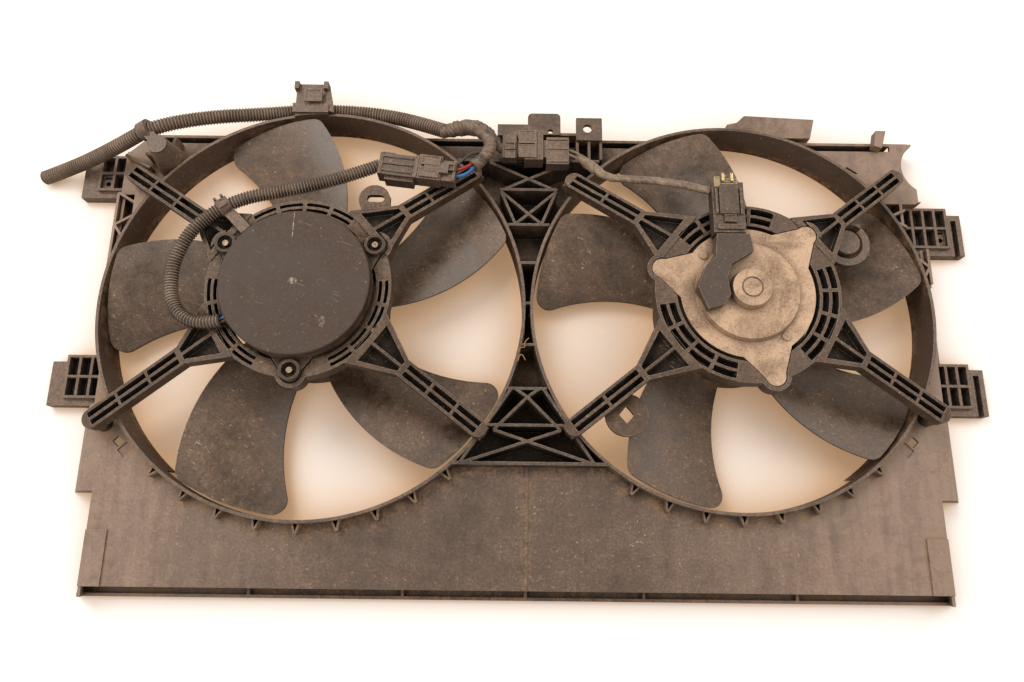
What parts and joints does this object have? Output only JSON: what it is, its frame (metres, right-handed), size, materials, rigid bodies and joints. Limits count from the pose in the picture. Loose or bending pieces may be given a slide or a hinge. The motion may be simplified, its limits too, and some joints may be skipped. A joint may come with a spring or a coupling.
{
  "type": "radiator fan shroud",
  "caption": "Radiator fan shroud: a ribbed plastic plate with round ducts, bladed fans on electric motors in spoked carriers, side brackets and a wiring harness.",
  "frame": {"origin": "middle of the shroud's face that lies against the radiator, wiring left out", "axes": "+X along the long side, from the larger fan to the smaller; +Z from the radiator face towards the motors, along the fans' axes"},
  "size_m": [0.8336, 0.4424, 0.0945],
  "materials": {
    "brush_carbon": "pressed carbon",
    "bush_bronze": "sintered bronze",
    "can_steel": "black coated drawn steel",
    "carrier_plastic": "moulded black plastic, dusty",
    "clip_plastic": "black plastic",
    "commutator_copper": "copper segments",
    "conduit_plastic": "corrugated plastic with brown dust",
    "connector_black": "black plastic",
    "connector_ivory": "ivory plastic",
    "core_steel": "stacked steel sheets",
    "cover_plastic": "smooth black plastic",
    "end_plate_steel": "dull plated steel",
    "fan_plastic": "moulded black plastic",
    "harness_tape": "grey cloth tape",
    "insulator_plastic": "black plastic",
    "lead_sleeve": "grey sleeve",
    "magnet_ferrite": "ferrite",
    "nut_steel": "plated steel",
    "screw_steel": "dull plated steel",
    "shaft_steel": "ground steel",
    "shroud_plastic": "moulded black plastic, dusty",
    "winding_copper": "enamelled copper wire",
    "wire_insulation": "wire insulation"
  },
  "bodies": {
    "shroud": {"boss_clip": "clip_plastic", "branch_conduit": "conduit_plastic", "conduit_clip": "clip_plastic", "corner_boss": "shroud_plastic", "corner_post": "shroud_plastic", "edge_clip": "clip_plastic", "fixing_tabs": "shroud_plastic", "harness_wrap": "harness_tape", "left_barrel": "shroud_plastic", "left_brush_holder": "insulator_plastic", "left_motor_bearings": "bush_bronze", "left_motor_brushes": "brush_carbon", "left_motor_can": "can_steel", "left_motor_carrier": "carrier_plastic", "left_motor_cover": "cover_plastic", "left_motor_magnets": "magnet_ferrite", "left_motor_screws": "screw_steel", "left_motor_wires": "wire_insulation", "left_plug": "connector_black", "left_plug_wires": "wire_insulation", "left_side_plate": "shroud_plastic", "left_socket": "connector_black", "lower_lattice": "shroud_plastic", "lower_left_bracket": "shroud_plastic", "lower_plate": "shroud_plastic", "lower_right_bracket": "shroud_plastic", "main_conduit": "conduit_plastic", "middle_plug": "connector_ivory", "middle_socket": "connector_black", "middle_socket_holder": "connector_black", "right_barrel": "shroud_plastic", "right_brush_holder": "insulator_plastic", "right_motor_bearings": "bush_bronze", "right_motor_brushes": "brush_carbon", "right_motor_can": "can_steel", "right_motor_carrier": "carrier_plastic", "right_motor_connector": "connector_black", "right_motor_end_plate": "end_plate_steel", "right_motor_insulator": "insulator_plastic", "right_motor_lead": "lead_sleeve", "right_motor_magnets": "magnet_ferrite", "right_motor_screws": "screw_steel", "right_side_plate": "shroud_plastic", "ring_clip": "clip_plastic", "top_flap": "shroud_plastic", "upper_lattice": "shroud_plastic", "upper_left_bracket": "shroud_plastic", "upper_right_bracket": "shroud_plastic"},
    "left_rotor": {"left_fan": "fan_plastic", "left_fan_nut": "nut_steel", "left_motor_shaft": "shaft_steel", "left_armature_core": "core_steel", "left_armature_windings": "winding_copper", "left_commutator": "commutator_copper"},
    "right_rotor": {"right_fan": "fan_plastic", "right_fan_nut": "nut_steel", "right_motor_shaft": "shaft_steel", "right_armature_core": "core_steel", "right_armature_windings": "winding_copper", "right_commutator": "commutator_copper"}
  },
  "joints": [
    {"name": "left_fan_spin", "type": "hinge", "parent": "shroud", "child": "left_rotor", "pos_m": [-0.174, 0.01475, 0], "axis": [0, 0, 1], "continuous": true},
    {"name": "right_fan_spin", "type": "hinge", "parent": "shroud", "child": "right_rotor", "pos_m": [0.1785, 0.01475, 0], "axis": [0, 0, 1], "continuous": true}
  ]
}
